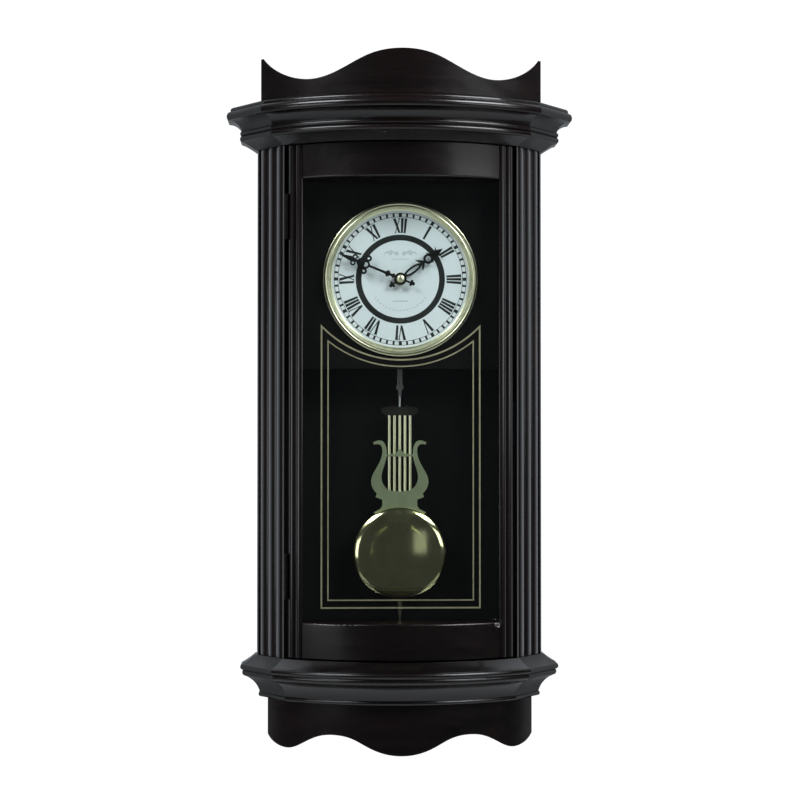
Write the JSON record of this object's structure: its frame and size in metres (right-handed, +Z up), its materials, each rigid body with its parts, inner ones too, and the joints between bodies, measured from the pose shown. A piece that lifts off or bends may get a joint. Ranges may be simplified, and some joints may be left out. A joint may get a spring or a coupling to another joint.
{
  "type": "schoolhouse wall clock",
  "caption": "Wall clock with a bow-fronted wooden case, glazed hinged door, white round dial with Roman numerals and a lyre pendulum with a round brass bob.",
  "frame": {"origin": "centre of the hanger keyhole's round entry, on the wall plane", "axes": "+Z up along the case, +Y into the wall, so the dial faces -Y; +X to the right seen from the front"},
  "size_m": [0.3232, 0.1206, 0.635],
  "materials": {
    "case_wood": "dark espresso lacquer, satin to gloss, faint red grain",
    "inner_wood": "dark stained board",
    "cover_plastic": "black moulded plastic, light texture",
    "steel": "zinc-plated steel",
    "bronze": "dark bronzed brass",
    "brass_polished": "polished lacquered brass",
    "brass_satin": "satin brass",
    "knob_metal": "satin nickel",
    "dark_casting": "dark antiqued casting",
    "dial_enamel": "cool white enamel, slight gloss",
    "hand_black": "black lacquered steel",
    "glass": "clear float glass",
    "movement_plastic": "dark grey moulded plastic",
    "white_plastic": "white moulded plastic",
    "magnet_black": "black plastic",
    "battery_shell": "plain wrapped dry cell",
    "copper": "enamelled copper winding",
    "board_green": "green circuit board"
  },
  "bodies": {
    "case": {"canted_posts": "case_wood", "side_boards": "case_wood", "top_board": "case_wood", "bottom_board": "case_wood", "head_rails": "case_wood", "back_panel": "inner_wood", "battens_and_blocks": "inner_wood", "case_screws": "steel", "hanger_plate": "steel", "rear_cover": "cover_plastic", "cornice_front": "case_wood", "cornice_returns": "case_wood", "lower_moulding_front": "case_wood", "lower_moulding_returns": "case_wood", "pediment": "case_wood", "apron": "case_wood", "magnetic_catch": "magnet_black", "hinge_leaves_case": "bronze", "dial_board": "inner_wood", "dial_plate": "dial_enamel", "bezel": "brass_polished", "movement_housing": "movement_plastic", "movement_rear_cover": "movement_plastic", "battery": "battery_shell", "battery_cover": "movement_plastic", "battery_contacts": "steel", "threaded_stem": "brass_polished", "stem_nut": "brass_polished", "drive_coils": "copper", "motor_stator": "steel", "circuit_board": "board_green", "speaker": "magnet_black", "pivot_pin": "steel"},
    "door": {"door_stiles": "case_wood", "door_rail_top": "case_wood", "door_rail_bottom": "case_wood", "door_glass": "glass", "glass_retainers": "case_wood", "door_knob": "knob_metal", "strike_plate": "steel", "door_screws": "steel", "hinge_leaves_door": "bronze"},
    "minute": {"minute_arbor": "white_plastic", "minute_hand": "hand_black", "hand_cap": "brass_polished"},
    "minute_wheel": {"minute_wheel": "white_plastic", "setting_knob": "white_plastic"},
    "hour": {"hour_wheel": "white_plastic", "hour_hand": "hand_black"},
    "pendulum": {"pendulum_hanger": "steel", "pendulum_hook_rod": "steel", "pendulum_cap_plate": "dark_casting", "pendulum_rods": "brass_polished", "pendulum_lyre": "brass_satin", "bob_front": "brass_polished", "bob_back": "steel", "pendulum_tip": "knob_metal"},
    "chime_switch": {"chime_switch": "white_plastic"},
    "turn_button_right": {"turn_button_right": "cover_plastic"},
    "turn_button_left": {"turn_button_left": "cover_plastic"}
  },
  "joints": [
    {"name": "door_hinge", "type": "hinge", "parent": "case", "child": "door", "pos_m": [-0.1048, -0.0586, -0.22], "axis": [0, 0, -1], "range_deg": [0, 110]},
    {"name": "minute_spin", "type": "hinge", "parent": "case", "child": "minute", "pos_m": [0, -0.04, -0.106], "axis": [0, 1, 0], "continuous": true},
    {"name": "minute_wheel_spin", "type": "hinge", "parent": "case", "child": "minute_wheel", "pos_m": [0.012, -0.027, -0.106], "axis": [0, 1, 0], "continuous": true},
    {"name": "hour_spin", "type": "hinge", "parent": "case", "child": "hour", "pos_m": [0, -0.031, -0.106], "axis": [0, 1, 0], "continuous": true},
    {"name": "pendulum_swing", "type": "hinge", "parent": "case", "child": "pendulum", "pos_m": [0, -0.027, -0.152], "axis": [0, 1, 0], "range_deg": [-6, 6]},
    {"name": "chime_slide", "type": "slide", "parent": "case", "child": "chime_switch", "axis": [1, 0, 0], "range_m": [-0.004, 0.004]},
    {"name": "turn_button_right_pivot", "type": "hinge", "parent": "case", "child": "turn_button_right", "pos_m": [0.057, -0.004, -0.116], "axis": [0, 1, 0], "range_deg": [0, 90]},
    {"name": "turn_button_left_pivot", "type": "hinge", "parent": "case", "child": "turn_button_left", "pos_m": [-0.057, -0.004, -0.116], "axis": [0, -1, 0], "range_deg": [0, 90]}
  ],
  "couplings": [
    {"joint": "minute_wheel_spin", "follows": "minute_spin", "ratio": -0.33333},
    {"joint": "hour_spin", "follows": "minute_spin", "ratio": 0.083333}
  ]
}
